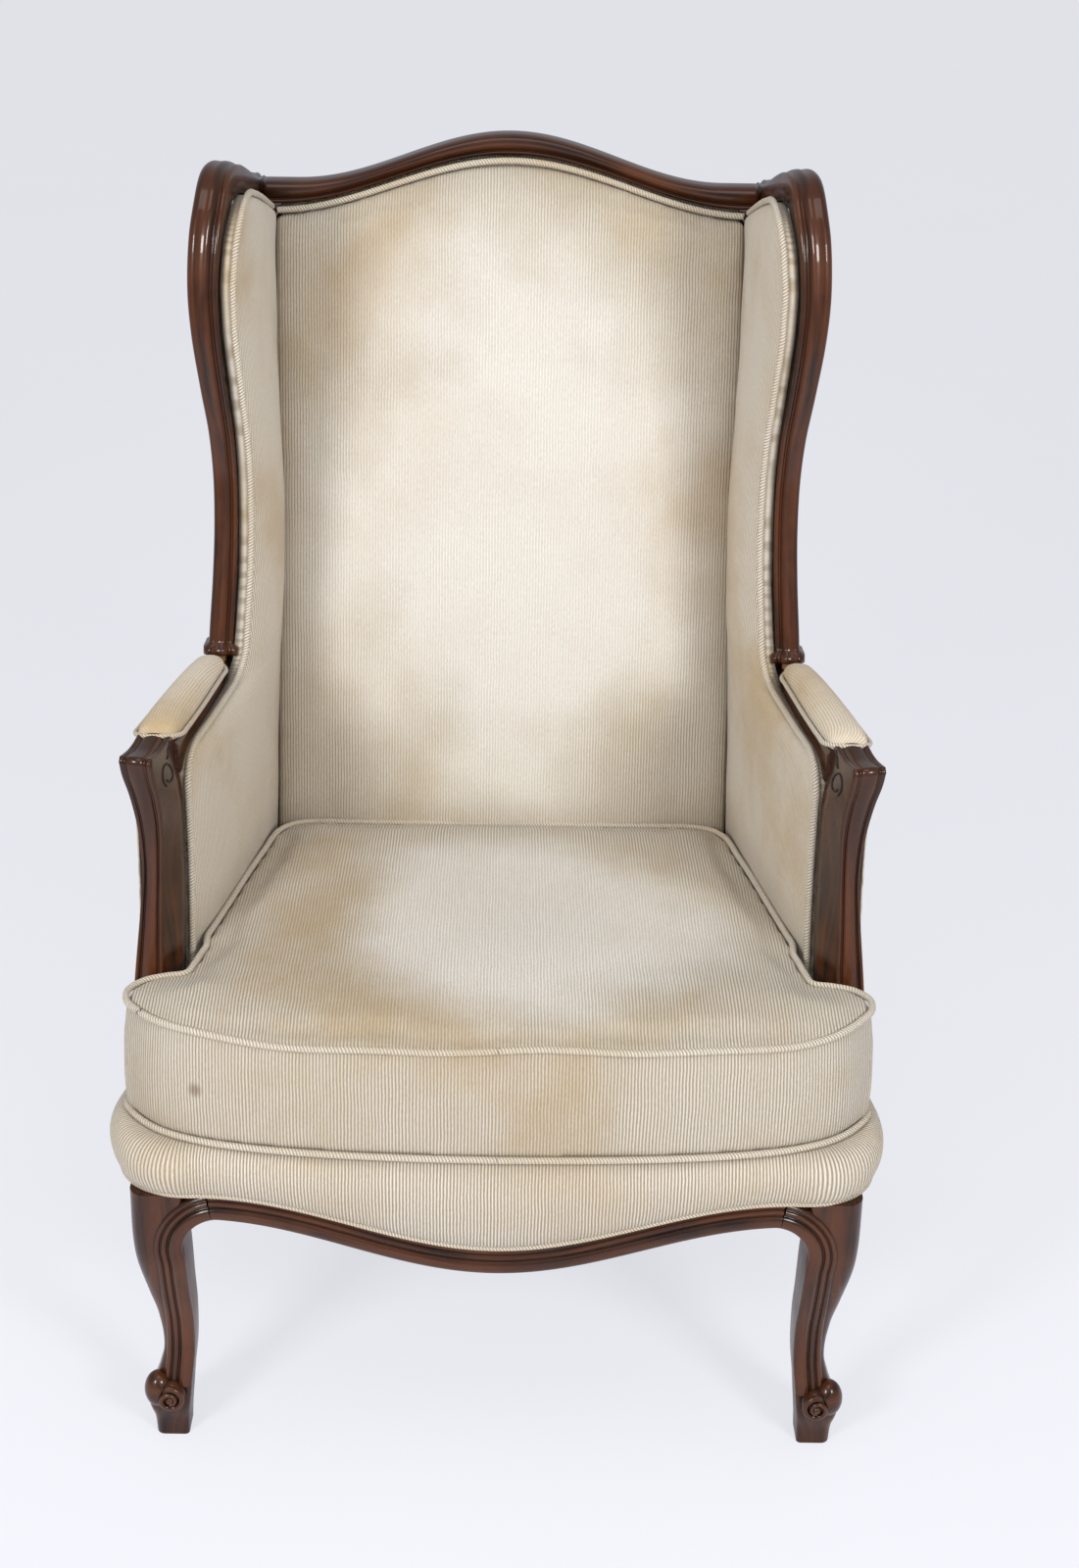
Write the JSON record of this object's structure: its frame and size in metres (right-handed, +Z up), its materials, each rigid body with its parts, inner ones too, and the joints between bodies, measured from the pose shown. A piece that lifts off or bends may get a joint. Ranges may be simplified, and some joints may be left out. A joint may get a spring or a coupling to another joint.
{
  "type": "upholstered wing armchair",
  "caption": "Bergere wing armchair with a carved show-wood frame, corded cream corduroy upholstery, padded arms and a loose boxed seat cushion.",
  "frame": {"origin": "on the floor, at the centre of the footprint", "axes": "+X to the right as seen from the front, +Y to the back, +Z up"},
  "size_m": [0.7266, 0.6985, 1.12],
  "materials": {
    "walnut_show_wood": "walnut stained, French polished, satin",
    "beech_frame_wood": "unfinished beech",
    "ivory_corduroy": "fine-wale cotton corduroy, aged ivory",
    "ivory_corduroy_welt": "corduroy over piping cord",
    "cotton_felt_padding": "cotton felt over hair",
    "cushion_filling": "feather and foam filling in ticking",
    "jute": "plain woven jute",
    "black_cambric": "thin woven dust cloth",
    "spring_steel": "bare drawn wire"
  },
  "bodies": {
    "chair": {"arm_pad_cover_left": "ivory_corduroy", "arm_pad_cover_right": "ivory_corduroy", "arm_pad_stuffing_left": "cotton_felt_padding", "arm_pad_stuffing_right": "cotton_felt_padding", "arm_pad_welt_left": "ivory_corduroy_welt", "arm_pad_welt_right": "ivory_corduroy_welt", "arm_post_left": "walnut_show_wood", "arm_post_right": "walnut_show_wood", "arm_rail_left": "beech_frame_wood", "arm_rail_right": "beech_frame_wood", "arm_upright_left": "beech_frame_wood", "arm_upright_right": "beech_frame_wood", "back_bottom_rail": "beech_frame_wood", "back_cover_inside": "ivory_corduroy", "back_cover_outside": "ivory_corduroy", "back_leg_left": "walnut_show_wood", "back_leg_right": "walnut_show_wood", "back_padding": "cotton_felt_padding", "back_seat_rail": "beech_frame_wood", "back_webbing": "jute", "back_welt": "ivory_corduroy_welt", "corner_block_screws": "spring_steel", "corner_blocks": "beech_frame_wood", "crest_rail": "walnut_show_wood", "deck_cover": "ivory_corduroy", "deck_pad": "cotton_felt_padding", "dust_cover": "black_cambric", "dust_cover_tacks": "spring_steel", "frame_dowels": "beech_frame_wood", "front_leg_left": "walnut_show_wood", "front_leg_right": "walnut_show_wood", "front_seat_rail": "walnut_show_wood", "seat_border_cover": "ivory_corduroy", "seat_border_roll": "cotton_felt_padding", "seat_border_welt": "ivory_corduroy_welt", "seat_burlap": "jute", "seat_springs": "spring_steel", "side_bottom_rail_left": "beech_frame_wood", "side_bottom_rail_right": "beech_frame_wood", "side_cover_inside_left": "ivory_corduroy", "side_cover_inside_right": "ivory_corduroy", "side_cover_outside_left": "ivory_corduroy", "side_cover_outside_right": "ivory_corduroy", "side_padding_left": "cotton_felt_padding", "side_padding_right": "cotton_felt_padding", "side_seat_rail_left": "walnut_show_wood", "side_seat_rail_right": "walnut_show_wood", "side_welt_left": "ivory_corduroy_welt", "side_welt_right": "ivory_corduroy_welt", "spring_clips": "spring_steel", "wing_post_left": "walnut_show_wood", "wing_post_right": "walnut_show_wood", "wing_top_rail_left": "walnut_show_wood", "wing_top_rail_right": "walnut_show_wood"},
    "cushion": {"cushion_bottom_panel": "ivory_corduroy", "cushion_boxing": "ivory_corduroy", "cushion_core": "cushion_filling", "cushion_top_panel": "ivory_corduroy", "cushion_welt_bottom": "ivory_corduroy_welt", "cushion_welt_top": "ivory_corduroy_welt"}
  },
  "joints": [
    {"name": "cushion_lift", "type": "slide", "parent": "chair", "child": "cushion", "axis": [0, -0.9404, 0.3401], "range_m": [0, 0.5]}
  ]
}
